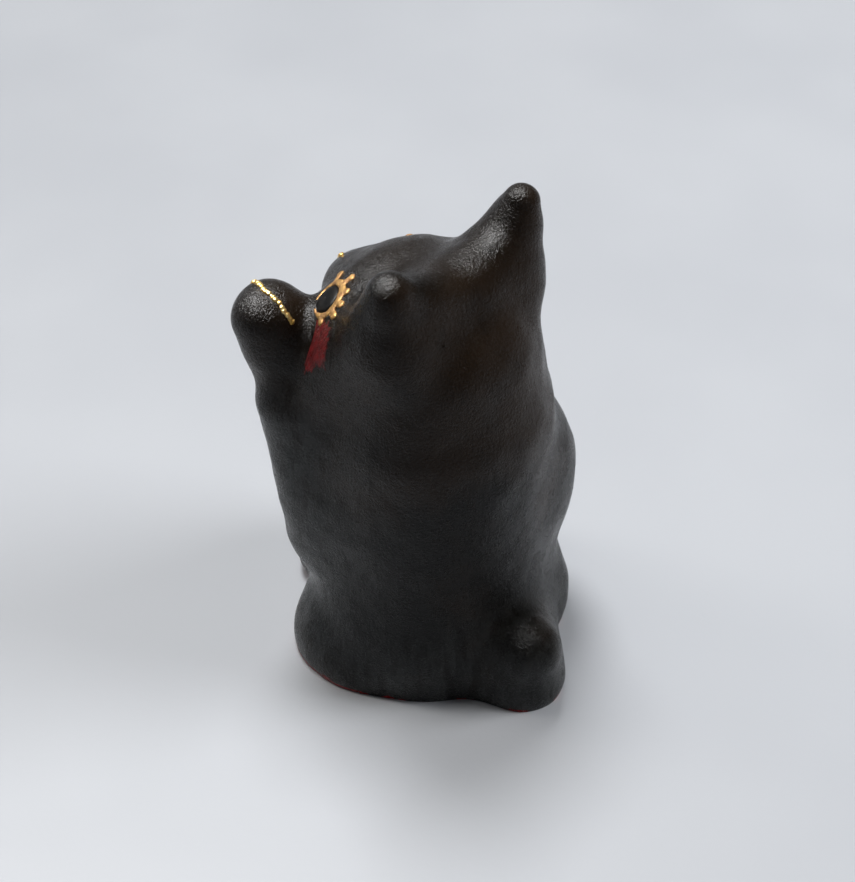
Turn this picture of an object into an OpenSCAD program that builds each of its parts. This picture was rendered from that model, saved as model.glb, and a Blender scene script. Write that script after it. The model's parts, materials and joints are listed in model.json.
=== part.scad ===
// Beckoning cat figurine: a hollow, hand-finished clay cat with its left paw raised.
// The cat faces -Y, its raised left paw is on +X, and its tail is on +Y.
// The origin is on the table, in the middle of the flat base.

/* [Figure] */
// Height from the table to the tips of the ears; the other sizes are for a cat 72 high and grow with it
figure_h = 72; // [54:1:108]
// Thickness of the clay wall
wall = 3; // [2.4:0.2:3.6]
// Height of the red edge that shows below the dark front half
rim_h = 0.7; // [0.6:0.1:1.2]
// Thickness of the slab inside the wall
slab_t = 2.4; // [1.8:0.1:3]
// Diameter of the vent hole in the underside
vent_d = 4; // [3:0.5:6]

/* [Ears, paw and tail] */
// How far the ear tips stand above the middle of their bases
ear_rise = 11.3; // [9.5:0.1:13]
// Radius of the rounded ear tips
ear_tip_r = 2.2; // [1.8:0.1:2.6]
// Radius of the raised paw
paw_r = 4.6; // [4.2:0.1:5]
// Radius of the tail stub at its end
tail_r = 3.9; // [3.2:0.1:4.4]

/* [Raised gold and painted marks] */
// Width of the raised gold line on the paw
bead_w = 0.8; // [0.6:0.1:1.2]
// Height of all the raised gold above the clay
bead_h = 0.35; // [0.2:0.05:0.6]
// Radius of the black pupils
pupil_r = 1.87; // [1.6:0.05:2.1]
// Thickness of the red paint on the cheeks
cheek_t = 0.15; // [0.1:0.05:0.3]

/* [Hidden] */

// Where the ears stand, and the scale that brings their tips to figure_h.
ear_foot = [9.8, 3.6, 58.5];
ear_tip = ear_foot + [1.6, 1.2, ear_rise];
left_tip = ear_tip + [-0.3, 0.2, -1.6];     // the left ear is a little lower
unit = figure_h / (ear_tip.z + ear_tip_r);

seam_y = 5;          // plane where the front and back halves meet, below the ears
head_z = 50;         // height of the point from which the head's rows fan out

// Colours
clay_dark = [0.16, 0.13, 0.11];
paint_red = [0.45, 0.08, 0.07];
paint_gold = [0.72, 0.50, 0.18];
paint_black = [0.04, 0.04, 0.04];

// ---- Distance-like fields: negative inside a form, positive outside ----

// Two fields run together, with a fillet of about k between them.
function melt(a, b, k) =
    let (h = max(k - abs(a - b), 0) / k)
    min(a, b) - h * h * k / 4;

// An egg-shaped lump of radii r about c.
function egg(p, c, r) =
    let (q = p - c)
    let (a = norm([q.x / r.x, q.y / r.y, q.z / r.z]))
    let (b = norm([q.x / (r.x * r.x), q.y / (r.y * r.y), q.z / (r.z * r.z)]))
    a * (a - 1) / max(b, 0.000001);

// A rolled, tapering lump with round ends, from a to b.
function roll(p, a, b, ra, rb) =
    let (ab = b - a)
    let (t = min(max((p - a) * ab / (ab * ab), 0), 1))
    norm(p - a - t * ab) - (ra + (rb - ra) * t);

// A cone with round ends that its sides meet without a crease.
function horn(p, a, b, ra, rb) =
    let (ab = b - a, length = norm(ab), lean = (ra - rb) / length)
    let (x = (p - a) * ab / length, y = sqrt(max(pow(norm(p - a), 2) - x * x, 0)))
    let (t = min(max((x - y * lean / sqrt(1 - lean * lean)) / length, 0), 1))
    norm(p - a - t * ab) - (ra + (rb - ra) * t);

// The trunk: seat, back and neck.
function trunk(p) =
    let (seat = egg(p, [-0.8, 0.8, 4.5], [19.2, 18, 23.5]))
    let (back = egg(p, [-0.2, 0.8, 27], [16.8, 16, 24]))
    let (neck = egg(p, [-0.3, 1.6, 43], [14, 13.7, 15]))
    melt(melt(seat, back, 6), neck, 8);

// The head: skull, forehead, crest between the ears, cheeks, muzzle and cheekbones.
function with_head(p, d) =
    let (q = [abs(p.x), p.y, p.z])
    let (skull = egg(p, [0, 0.8, 52.8], [13.7, 13.3, 10.2]))
    let (brow = egg(p, [0, -4.2, 54.5], [10.4, 8.8, 8.2]))
    let (crest = roll(p, [-5.5, 3.8, 61.2], [5.5, 3.8, 61.8], 4.4, 4.4))
    let (cheek = roll(q, [10.4, 3.2, 61], [9.8, -4.6, 50.5], 2.8, 5.4))
    let (muzzle = egg(p, [0, -12.4, 53.9], [5, 4.8, 4.3]))
    let (cheekbone = egg(q, [7.8, -8.8, 54.4], [3, 3, 3]))
    let (crown = melt(melt(melt(d, skull, 4), brow, 4), crest, 4))
    melt(melt(melt(crown, cheek, 4), muzzle, 4), cheekbone, 3);

// The right shoulder, the left upper arm, the thighs, the right haunch and the rump.
function with_limbs(p, d) =
    let (shoulder = egg(p, [-13.2, 4.4, 24.8], [7.9, 9, 12]))
    let (upper_arm = roll(p, [10.6, -7.8, 21.5], [13, -11.2, 42.5], 6.7, 5.1))
    let (left_thigh = egg(p, [12.3, -2.8, 1.2], [8.4, 9.6, 7.2]))
    let (right_thigh = egg(p, [-12.2, -4.6, 2.5], [7, 8.4, 7]))
    let (haunch = egg(p, [-9.8, 7.8, 2], [7.6, 7.6, 7.5]))
    let (rump = egg(p, [0.2, 19, 1.5], [6.4, 6.6, 7]))
    let (arms = melt(melt(d, shoulder, 6), upper_arm, 7))
    let (thighs = melt(melt(arms, left_thigh, 4), right_thigh, 4))
    melt(melt(thighs, haunch, 5), rump, 5);

// The whole moulded body, before the hand-made lumps are stuck on.
function body(p) = with_limbs(p, with_head(p, trunk(p)));
solid_body = function (p) body(p);
cavity = function (p) body(p) + wall;

// The lumps that are stuck on, each as a field of its own.
paw_mid = [13.9, -14.7, 55.2];

// An ear is a broad wedge: a core, a slope in front of it and one towards the crown.
// drop is how far below the tip the slopes begin.
function ear_form(p, tip, drop) =
    let (core = horn(p, ear_foot, tip, 5.4, ear_tip_r))
    let (front = horn(p, tip - [0.2, 1.2, drop], [11.4, 1.4, 59.6], 1.9, 2.6))
    let (inner = horn(p, tip - [0.8, 0.2, drop], [4, 4.2, 62], 1.9, 3.2))
    melt(core, melt(front, inner, 2), 2.5);
left_ear_field = function (p) ear_form(p, left_tip, 1.2);
right_ear_field = function (p) ear_form(p, ear_tip, 3.4);
paw_field = function (p)
    melt(horn(p, [13.2, -12.6, 45], paw_mid, 3.4, paw_r), egg(p, [11.6, -13.7, 51.8], [4, 3.8, 4.5]), 4);
arm_field = function (p) roll(p, [-13, -5, 33], [-7, -14.4, 18], 5.2, 4.3);
left_foot_field = function (p) egg(p, [5.4, -16.2, 2.6], [4.3, 4.4, 3.4]);
right_foot_field = function (p) egg(p, [-6.4, -16.2, 2.6], [4.3, 4.4, 3.4]);
tail_field = function (p) roll(p, [0, 15.5, 6.5], [1.2, 21.4, 9.6], 6, tail_r);
nose_field = function (p) egg(p, [0, -16.9, 53.7], [1.7, 1.2, 1.1]);

// The body with both feet, for the outline of the slab.
foot_fillet = 3;
footed = function (p) melt(melt(body(p), left_foot_field(p), foot_fillet), right_foot_field(p), foot_fillet);

// ---- Finding surfaces ----

// Distance along d from o at which field f turns positive, by halving.
function halve(f, o, d, near, far, n = 14) =
    n == 0 ? (near + far) / 2 :
    let (m = (near + far) / 2)
    f(o + m * d) < 0 ? halve(f, o, d, m, far, n - 1) : halve(f, o, d, near, m, n - 1);

// Walks out from o in steps until f is positive, then halves the last step.
function out(f, o, d, step = 1.6, t = 0) =
    t > 60 ? t :
    f(o + (t + step) * d) < 0 ? out(f, o, d, step, t + step) : halve(f, o, d, t, t + step);

// The point of the surface of f on the ray from o along d.
function skin(f, o, d) = o + out(f, o, d) * d;

// Unit vectors: the third is the given axis.
function unit_of(v) = v / norm(v);
function frame_of(axis) =
    let (a = unit_of(axis))
    let (e = unit_of(cross(abs(a.z) > 0.9 ? [0, 1, 0] : [0, 0, 1], a)))
    [e, cross(a, e), a];

// A direction at angle tilt from the frame's axis and angle turn around it.
function aim(fr, tilt, turn) =
    fr[2] * cos(tilt) + (fr[0] * cos(turn) + fr[1] * sin(turn)) * sin(tilt);

// ---- Closed solids from rings of points ----

// rings: lists of the same length, in order; first and last: the two end points.
// The faces look outwards when the rings turn anticlockwise seen from the first point.
module ring_solid(first, rings, last) {
    n = len(rings[0]);
    m = len(rings);
    points = [first, for (r = rings) each r, last];
    end = m * n + 1;
    faces = [
        for (i = [0:n - 1]) [0, 1 + (i + 1) % n, 1 + i],
        for (j = [0:m - 2], i = [0:n - 1])
            let (a = 1 + j * n + i)
            let (b = 1 + j * n + (i + 1) % n)
            each [[a, b, b + n], [a, b + n, a + n]],
        for (i = [0:n - 1]) [end, end - n + i, end - n + (i + 1) % n]
    ];
    polyhedron(points = unit * points, faces = faces, convexity = 6);
}

// Rings joined end to end into a closed loop, for the rings round the eyes.
module loop_solid(rings) {
    n = len(rings[0]);
    m = len(rings);
    points = [for (r = rings) each r];
    faces = [
        for (j = [0:m - 1], i = [0:n - 1])
            let (a = j * n + i)
            let (b = j * n + (i + 1) % n)
            let (c = ((j + 1) % m) * n + (i + 1) % n)
            let (d = ((j + 1) % m) * n + i)
            each [[a, b, c], [a, c, d]]
    ];
    polyhedron(points = unit * points, faces = faces, convexity = 6);
}

// ---- The two moulded halves ----

// Rows of the shell: height on the trunk, then tilt on the head.
function trunk_rows(low) = [for (z = [0:1:22]) low + (head_z - low) * z / 22];
head_rows = [9, 18, 27, 36, 45, 54, 63, 72, 81];

function wall_point(f, turn, z) = skin(f, [0, seam_y, z], [cos(turn), sin(turn), 0]);
function dome_point(f, turn, tilt) =
    skin(f, [0, seam_y, head_z], [cos(turn) * cos(tilt), sin(turn) * cos(tilt), sin(tilt)]);

function half_rows(f, low, turns) = [
    for (z = trunk_rows(low)) [for (a = turns) wall_point(f, a, z)],
    for (t = head_rows) [for (a = turns) dome_point(f, a, t)]
];

// One half: outer skin, inner skin, and the faces between them at the foot and the seam.
module half_shell(low, from_turn, columns) {
    turns = [for (i = [0:columns]) from_turn + 180 * i / columns];
    outer = half_rows(solid_body, low, turns);
    inner = half_rows(cavity, low, turns);
    top_out = skin(solid_body, [0, seam_y, head_z], [0, 0, 1]);
    top_in = skin(cavity, [0, seam_y, head_z], [0, 0, 1]);
    points = [for (r = outer) each r, for (r = inner) each r, top_out, top_in];
    n = columns + 1;     // points in a row
    m = len(outer);      // rows
    s = m * n;           // first point of the inner skin
    crown_out = 2 * s;
    crown_in = 2 * s + 1;
    skins = [for (j = [0:m - 2], i = [0:n - 2])
        let (a = j * n + i)
        each [[a, a + n, a + n + 1], [a, a + n + 1, a + 1],
              [s + a, s + a + n + 1, s + a + n], [s + a, s + a + 1, s + a + n + 1]]];
    crown_and_foot = [for (i = [0:n - 2])
        let (a = (m - 1) * n + i)
        each [[a, crown_out, a + 1], [s + a, s + a + 1, crown_in],
              [i, i + 1, s + i + 1], [i, s + i + 1, s + i]]];
    seam = [for (j = [0:m - 2])
        let (a = j * n)
        let (b = j * n + n - 1)
        each [[a, s + a, s + a + n], [a, s + a + n, a + n], [b, s + b + n, s + b], [b, b + n, s + b + n]]];
    seam_top = [[s - n, 2 * s - n, crown_in], [s - n, crown_in, crown_out],
                [s - 1, crown_in, 2 * s - 1], [s - 1, crown_out, crown_in]];
    polyhedron(points = unit * points, faces = concat(skins, crown_and_foot, seam, seam_top), convexity = 8);
}

module front_shell() { color(clay_dark) half_shell(rim_h, 180, 36); }
module back_shell() { color(clay_dark) half_shell(0, 0, 34); }

// The red slab that closes the underside: its edge is full width in front and inside
// the wall behind, and a thicker middle rises inside the wall all round.
slab_gap = 0.15;
vent_y = 9;
module slab_outline(points) { polygon([for (p = points) unit * [p.x, p.y]]); }
module base_slab() {
    inset = function (p) body(p) + wall + slab_gap;
    edge_front = [for (a = [180:4:360]) wall_point(footed, a, rim_h)];
    inner_front = [for (a = [186:6:354]) wall_point(inset, a, 0)];
    inner_rear = [for (a = [0:6:180]) wall_point(inset, a, 0)];
    color(paint_red) difference() {
        union() {
            linear_extrude(height = unit * rim_h) slab_outline(concat(edge_front, inner_rear));
            linear_extrude(height = unit * slab_t) slab_outline(concat(inner_front, inner_rear));
        }
        translate([0, unit * vent_y, -unit]) cylinder(d = unit * vent_d, h = unit * (slab_t + 2), $fn = 48);
    }
}

// ---- Lumps of clay stuck on the body ----

function mean(v) = v * [for (x = v) 1] / len(v);

// The part of a lump that stands off the body, filleted into it by k.
// o is a point inside the lump and outside the body; axis points away from the body.
// around, outer and under count its points in a ring and its rings; clip is positive where clay is cut away.
feather = 0.15;      // thickness of the smoothed edge
contact = 0.02;      // clearance under the lump
module lump(f, k, o, axis, around, outer, under, clip = function (p) -1) {
    fr = frame_of(axis);
    form = function (p)
        let (b = body(p))
        max(melt(b, f(p), k), contact - b, clip(p));
    thin = function (turn, tilt) body(skin(form, o, aim(fr, tilt, turn))) < feather;
    find_edge = function (turn, tilt)
        tilt > 168 ? tilt : thin(turn, tilt) ? tilt : find_edge(turn, tilt + 6);
    refine = function (turn, near, far, n)
        n == 0 ? far :
        let (m = (near + far) / 2)
        thin(turn, m) ? refine(turn, near, m, n - 1) : refine(turn, m, far, n - 1);
    turns = [for (i = [0:around - 1]) 360 * i / around];
    found = [for (a = turns) let (e = find_edge(a, 30)) refine(a, e - 6, e, 4)];
    drawn_in = [for (i = [0:around - 1]) min([for (d = [-2:2]) found[(i + d + around) % around]])];
    edges = [for (i = [0:around - 1]) mean([for (d = [-2:2]) drawn_in[(i + d + around) % around]])];
    rings = [
        for (j = [1:outer]) [for (i = [0:around - 1])
            skin(form, o, aim(fr, edges[i] * j / outer, turns[i]))],
        for (j = [1:under - 1]) [for (i = [0:around - 1])
            skin(form, o, aim(fr, edges[i] + (180 - edges[i]) * j / under, turns[i]))]
    ];
    ring_solid(skin(form, o, fr[2]), rings, skin(form, o, -fr[2]));
}

// The right ear is drawn on the left and mirrored, because the head is the same on both sides.
module ear(f, o) { lump(f, 3, o, [0.1, 0.1, 1], 36, 11, 7); }
module left_ear() { color(clay_dark) ear(left_ear_field, [10.6, 4.6, 64.6]); }
module right_ear() { color(clay_dark) mirror([1, 0, 0]) ear(right_ear_field, [10.9, 4.4, 66.2]); }
module raised_paw() {
    color(clay_dark) lump(paw_field, 2.5, [13.8, -14.7, 53.8], [0.35, -0.55, 0.76], 30, 12, 7);
}
module lowered_arm() {
    color(clay_dark) lump(arm_field, 4.5, [-12, -12.3, 25.5], [-0.55, -0.83, 0], 30, 9, 12);
}
module tail_stub() { color(clay_dark) lump(tail_field, 5, [1.1, 20.9, 10.2], [0.1, 0.85, 0.5], 26, 8, 5); }
// The feet are cut level above the slab, and apart from each other between them.
between_feet = -0.5;
module left_foot() {
    clip = function (p) max(rim_h - p.z, between_feet - p.x);
    color(clay_dark) lump(left_foot_field, foot_fillet, [5.4, -18.9, 2.9], [0, -1, 0.35], 24, 7, 5, clip);
}
module right_foot() {
    clip = function (p) max(rim_h - p.z, p.x - between_feet);
    color(clay_dark) lump(right_foot_field, foot_fillet, [-6.4, -18.9, 2.9], [0, -1, 0.35], 24, 7, 5, clip);
}
module nose() { color(paint_black) lump(nose_field, 0.5, [0, -17.7, 53.8], [0, -1, 0.1], 16, 5, 3); }

// ---- Marks laid on the surface ----

// Drops the point (u, v) of the plane at e onto the body, then lifts it by h.
function on_skin(e, fr, u, v, h) =
    let (q = e + fr[0] * u + fr[1] * v - fr[2] * 4)
    let (t = halve(solid_body, q, fr[2], 0, 8, 16))
    q + (t + h) * fr[2];
function on_turn(e, fr, r, a, h) = on_skin(e, fr, r * cos(a), r * sin(a), h);

// The left eye looks out, forwards and up from the front of the cheek.
eye_mid = [9, -8.5, 58.8];
eye_fr = frame_of([0.52, -0.42, 0.74]);
// The right eye, mirrored, sits a little lower and nearer the muzzle.
right_eye_mid = [7.4, -10.5, 57.5];
right_eye_fr = frame_of([0.4, -0.68, 0.6]);
cheek_mid = [13.2, -6.3, 55.2];
cheek_fr = frame_of([0.75, -0.45, 0.48]);

// A disc on the skin: its edge lies on the clay and its middle is h high.
module disc_mark(e, fr, reach, h, around) {
    turns = [for (i = [0:around - 1]) 360 * i / around];
    dome = function (s) h * sqrt(1 - pow(s, 4));
    top = [for (s = [0.4, 0.75, 0.94]) [for (a = turns) on_turn(e, fr, s * reach(a), a, dome(s))]];
    rim = [[for (a = turns) on_turn(e, fr, reach(a), a, 0.01)]];
    low = [for (s = [0.94, 0.6]) [for (a = turns) on_turn(e, fr, s * reach(a), a, 0)]];
    ring_solid(on_skin(e, fr, 0, 0, h), concat(top, rim, low), on_skin(e, fr, 0, 0, 0));
}

// The black of the eye: nearly round, a little longer across one slant.
pupil_lean = -50;
function oval(a, wide, tall) = 1 / sqrt(pow(cos(a) / wide, 2) + pow(sin(a) / tall, 2));
function pupil_reach(a) = oval(a + pupil_lean, pupil_r * 0.96, pupil_r * 1.04);
pupil_dome = 0.3;

// The gold ring round the eye: thin beside the nose, with round knobs on the outer side.
knob_turns = [-35, 9, 35, 67, 101, 148];
knob_rise = 1.1;
knob_spread = 7.5;
ring_gap = 0.06;
function knobs(a) = max([for (k = knob_turns) exp(-pow((a - k) / knob_spread, 2))]);
function ring_reach(a) = pupil_reach(a) + 0.5 + 0.35 * (1 + cos(a - 60)) + knob_rise * knobs(a);

module eye_ring(mid, fr) {
    around = 90;
    section = [[0, 0], [0.2, 0.75], [0.5, 1], [0.8, 0.75], [1, 0], [0.5, 0]];
    rings = [for (i = [0:around - 1])
        let (a = 270 - 360 * i / around)
        let (turn = a < -90 ? a + 360 : a)
        let (inner = pupil_reach(turn) + ring_gap)
        [for (s = section) on_turn(mid, fr, inner + s.x * (ring_reach(turn) - inner), turn, s.y * bead_h)]];
    loop_solid(rings);
}

module pupil(mid, fr) { disc_mark(mid, fr, function (a) pupil_reach(a), pupil_dome, 24); }

// The cheek's red patch: a tall, uneven oval.
function cheek_reach(a) = oval(a, 2.8, 3.2) * (1 + 0.07 * sin(3 * a + 40) + 0.05 * cos(5 * a));
module cheek_paint() { disc_mark(cheek_mid, cheek_fr, function (a) cheek_reach(a), cheek_t, 32); }

module left_eye_ring() { color(paint_gold) eye_ring(eye_mid, eye_fr); }
module right_eye_ring() { color(paint_gold) mirror([1, 0, 0]) eye_ring(right_eye_mid, right_eye_fr); }
module left_pupil() { color(paint_black) pupil(eye_mid, eye_fr); }
module right_pupil() { color(paint_black) mirror([1, 0, 0]) pupil(right_eye_mid, right_eye_fr); }
module left_cheek_paint() { color(paint_red) cheek_paint(); }
module right_cheek_paint() { color(paint_red) mirror([1, 0, 0]) cheek_paint(); }

// A raised line along points on the skin, with the skin's normals: flat below, round above.
module trailed_line(path, normals, widths) {
    n = len(path);
    along = [for (i = [0:n - 1]) unit_of(path[min(i + 1, n - 1)] - path[max(i - 1, 0)])];
    section = [[-0.5, 0.02], [-0.36, 0.7], [0, 1], [0.36, 0.7], [0.5, 0.02], [0, 0.01]];
    rings = [for (i = [0:n - 1])
        let (side = unit_of(cross(normals[i], along[i])))
        let (rise = normals[i] * bead_h * widths[i] / bead_w)
        [for (s = section) path[i] + side * s.x * widths[i] + rise * s.y]];
    ring_solid(path[0] - along[0] * 0.2 + normals[0] * 0.1, rings,
               path[n - 1] + along[n - 1] * 0.2 + normals[n - 1] * 0.1);
}

// The line over the raised paw, from its palm over the tip to the back.
// Its place is given by the tilt from straight up, forwards negative.
module paw_gold_line() {
    steps = 36;
    first = -70;
    last = 74;
    hand = function (p) melt(body(p), paw_field(p), 2.5);
    tilts = [for (i = [0:steps]) first + (last - first) * i / steps];
    ways = [for (a = tilts) unit_of([0.04 - 0.2 * pow((a - 20) / 60, 2), sin(a), cos(a)])];
    path = [for (w = ways) skin(hand, paw_mid, w)];
    widths = [for (a = tilts) bead_w * (0.9 + 0.14 * sin(13 * a) + 0.1 * sin(23 * a + 50))];
    color(paint_gold) trailed_line(path, ways, widths);
}

// The short line down the bridge of the muzzle.
module nose_gold_line() {
    steps = 12;
    first = 40;
    last = 72;
    tilts = [for (i = [0:steps]) first + (last - first) * i / steps];
    ways = [for (a = tilts) unit_of([0.05 * sin(11 * a), -sin(a), cos(a)])];
    path = [for (w = ways) skin(solid_body, [0, -10.5, 52], w)];
    widths = [for (i = [0:steps]) bead_w * (1 - 0.25 * pow(i / steps, 2))];
    color(paint_gold) trailed_line(path, ways, widths);
}

front_shell();
back_shell();
base_slab();
left_ear();
right_ear();
raised_paw();
lowered_arm();
left_foot();
right_foot();
tail_stub();
nose();
left_eye_ring();
right_eye_ring();
left_pupil();
right_pupil();
left_cheek_paint();
right_cheek_paint();
paw_gold_line();
nose_gold_line();
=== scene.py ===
"""Beckoning cat figurine: a hollow clay cat, brushed with dark lacquer, with raised gold and red cheeks.

Lengths in the form functions are millimetres on a cat DRAWN_H high, as in the CAD part, and UNIT brings
them to the frame. The cat faces -Y, its raised left paw is on +X, its tail on +Y, the table is z = 0.
"""

import json
import math

import bpy
import numpy as np
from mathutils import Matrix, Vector

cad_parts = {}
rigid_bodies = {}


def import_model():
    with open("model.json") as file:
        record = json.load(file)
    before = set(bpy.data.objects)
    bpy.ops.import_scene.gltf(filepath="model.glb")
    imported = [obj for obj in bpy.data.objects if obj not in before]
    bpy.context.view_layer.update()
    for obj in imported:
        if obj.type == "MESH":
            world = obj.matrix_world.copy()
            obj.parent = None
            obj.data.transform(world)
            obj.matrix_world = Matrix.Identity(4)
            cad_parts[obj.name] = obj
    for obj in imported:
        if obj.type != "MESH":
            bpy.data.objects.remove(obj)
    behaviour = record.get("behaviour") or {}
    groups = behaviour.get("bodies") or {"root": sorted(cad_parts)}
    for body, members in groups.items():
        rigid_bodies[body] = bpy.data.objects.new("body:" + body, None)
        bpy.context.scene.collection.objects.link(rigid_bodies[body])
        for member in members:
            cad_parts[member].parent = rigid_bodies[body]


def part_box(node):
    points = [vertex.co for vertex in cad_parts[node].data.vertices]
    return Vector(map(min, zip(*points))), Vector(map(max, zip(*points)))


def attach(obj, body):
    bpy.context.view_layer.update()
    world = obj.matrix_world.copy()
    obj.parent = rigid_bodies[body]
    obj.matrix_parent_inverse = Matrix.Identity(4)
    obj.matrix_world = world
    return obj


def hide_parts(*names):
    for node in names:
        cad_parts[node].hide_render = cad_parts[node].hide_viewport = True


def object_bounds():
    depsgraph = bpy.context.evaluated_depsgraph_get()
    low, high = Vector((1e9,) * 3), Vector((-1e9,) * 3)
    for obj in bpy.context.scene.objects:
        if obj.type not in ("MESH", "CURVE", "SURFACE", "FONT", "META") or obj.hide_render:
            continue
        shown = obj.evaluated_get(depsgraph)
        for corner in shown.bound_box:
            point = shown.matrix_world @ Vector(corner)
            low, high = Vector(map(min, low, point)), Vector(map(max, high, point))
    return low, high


DRAWN_H = 72.0
MM = 0.001

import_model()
cad_low, cad_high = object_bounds()
UNIT = cad_high[2] / DRAWN_H / MM


def low_of(node):
    """The lowest corner of a CAD node's box, in drawn millimetres."""
    return np.array(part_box(node)[0]) / MM / UNIT


def high_of(node):
    """The highest corner of a CAD node's box, in drawn millimetres."""
    return np.array(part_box(node)[1]) / MM / UNIT


SEAM_Y = float(low_of("back_shell")[1])
RIM_H = float(low_of("front_shell")[2])
SLAB_T = float(high_of("base_slab")[2])
FLIP_X = np.array((-1, 1, 1), np.float32)      # takes a point to the other side of the cat

# ---------------------------------------------------------------- the form, as fields


def melt(a, b, k):
    """Two fields run together with a fillet of about k."""
    h = np.maximum(k - np.abs(a - b), 0) / k
    return np.minimum(a, b) - h * h * k / 4


def egg(p, c, r):
    q = p - np.array(c, np.float32)
    r = np.array(r, np.float32)
    a = np.sqrt(((q / r) ** 2).sum(-1))
    b = np.sqrt(((q / r**2) ** 2).sum(-1))
    return a * (a - 1) / np.maximum(b, 1e-6)


def roll(p, a, b, ra, rb):
    a = np.array(a, np.float32)
    ab = np.array(b, np.float32) - a
    t = np.clip(((p - a) @ ab) / float(ab @ ab), 0, 1)
    return np.sqrt(((p - a - t[..., None] * ab) ** 2).sum(-1)) - (ra + (rb - ra) * t)


def mirrored(p):
    return np.concatenate([np.abs(p[..., :1]), p[..., 1:]], -1)


def body(p):
    """The moulded body, before the hand-made lumps are stuck on."""
    q = mirrored(p)
    d = melt(egg(p, (-0.8, 0.8, 4.5), (19.2, 18, 23.5)), egg(p, (-0.2, 0.8, 27), (16.8, 16, 24)), 6)
    d = melt(d, egg(p, (-0.3, 1.6, 43), (14, 13.7, 15)), 8)
    d = melt(d, egg(p, (0, 0.8, 52.8), (13.7, 13.3, 10.2)), 4)
    d = melt(d, egg(p, (0, -4.2, 54.5), (10.4, 8.8, 8.2)), 4)
    d = melt(d, roll(p, (-5.5, 3.8, 61.2), (5.5, 3.8, 61.8), 4.4, 4.4), 4)
    d = melt(d, roll(q, (10.4, 3.2, 61), (9.8, -4.6, 50.5), 2.8, 5.4), 4)
    d = melt(d, egg(p, (0, -12.4, 53.9), (5, 4.8, 4.3)), 4)
    d = melt(d, egg(q, (7.8, -8.8, 54.4), (3, 3, 3)), 3)
    d = melt(d, egg(p, (-13.2, 4.4, 24.8), (7.9, 9, 12)), 6)
    d = melt(d, roll(p, (10.6, -7.8, 21.5), (13, -11.2, 42.5), 6.7, 5.1), 7)
    d = melt(d, egg(p, (12.3, -2.8, 1.2), (8.4, 9.6, 7.2)), 4)
    d = melt(d, egg(p, (-12.2, -4.6, 2.5), (7, 8.4, 7)), 4)
    d = melt(d, egg(p, (-9.8, 7.8, 2), (7.6, 7.6, 7.5)), 5)
    return melt(d, egg(p, (0.2, 19, 1.5), (6.4, 6.6, 7)), 5)


def horn(p, a, b, ra, rb):
    """A cone with round ends that its sides meet without a crease."""
    a = np.array(a, np.float32)
    ab = np.array(b, np.float32) - a
    length = float(np.linalg.norm(ab))
    lean = (ra - rb) / length
    x = (p - a) @ ab / length
    y = np.sqrt(np.maximum(((p - a) ** 2).sum(-1) - x * x, 1e-8))
    t = np.clip((x - y * lean / math.sqrt(1 - lean * lean)) / length, 0, 1)
    return np.sqrt(((p - a - t[..., None] * ab) ** 2).sum(-1)) - (ra + (rb - ra) * t)


EAR_TIP_R = 2.2


def ear(p, tip, drop):
    """A broad wedge: its core, the slope in front of it and the one towards the crown."""
    tip = np.array(tip)
    core = horn(p, (9.8, 3.6, 58.5), tip, 5.4, EAR_TIP_R)
    front = horn(p, tip - (0.2, 1.2, drop), (11.4, 1.4, 59.6), 1.9, 2.6)
    inner = horn(p, tip - (0.8, 0.2, drop), (4, 4.2, 62), 1.9, 3.2)
    return melt(core, melt(front, inner, 2), 2.5)


PAW_MID = (13.9, -14.7, 55.2)
PALM_FILLET = 4
PAW_FILLET = 2.5


def paw(p):
    palm = egg(p, (11.6, -13.7, 51.8), (4, 3.8, 4.5))
    return melt(horn(p, (13.2, -12.6, 45), PAW_MID, 3.4, 4.6), palm, PALM_FILLET)


# Each lump's field, and the fillet where it runs into the body.
LUMPS = {
    "left_ear": (lambda p: ear(p, (11.1, 5, 68.2), 1.2), 3.0),
    "right_ear": (lambda p: ear(p * FLIP_X, (11.4, 4.8, 69.8), 3.4), 3.0),
    "raised_paw": (paw, PAW_FILLET),
    "lowered_arm": (lambda p: roll(p, (-13, -5, 33), (-7, -14.4, 18), 5.2, 4.3), 4.5),
    "left_foot": (lambda p: egg(p, (5.4, -16.2, 2.6), (4.3, 4.4, 3.4)), 3.0),
    "right_foot": (lambda p: egg(p, (-6.4, -16.2, 2.6), (4.3, 4.4, 3.4)), 3.0),
    "tail_stub": (lambda p: roll(p, (0, 15.5, 6.5), (1.2, 21.4, 9.6), 6, 3.9), 5.0),
    "nose": (lambda p: egg(p, (0, -16.9, 53.7), (1.7, 1.2, 1.1)), 0.5),
}


# Hand marks in the clay: sums of waves in fixed, seeded directions, from broad dents to finger strokes.
def wave_set(seed, length, count):
    rng = np.random.default_rng(seed)
    way = rng.normal(size=(count, 3))
    way /= np.linalg.norm(way, axis=1, keepdims=True)
    size = 2 * np.pi / (length * rng.uniform(0.75, 1.4, count))
    return (way * size[:, None]).astype(np.float32), rng.uniform(0, 2 * np.pi, count).astype(np.float32)


# Wave sets with their heights.
DENTS = [
    (wave_set(3, 15.0, 12), 0.15),
    (wave_set(5, 7.0, 14), 0.07),
    (wave_set(8, 3.2, 14), 0.022),
]


def dents(p):
    total = 0
    for (ways, phases), height in DENTS:
        total = total + np.sin(p @ ways.T + phases).mean(-1) * (height * math.sqrt(len(phases)))
    return total


def figure(p):
    """The whole figure's surface: body, lumps and hand marks."""
    d = body(p)
    for field, fillet in LUMPS.values():
        d = melt(d, field(p), fillet)
    return d + dents(p)


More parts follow.
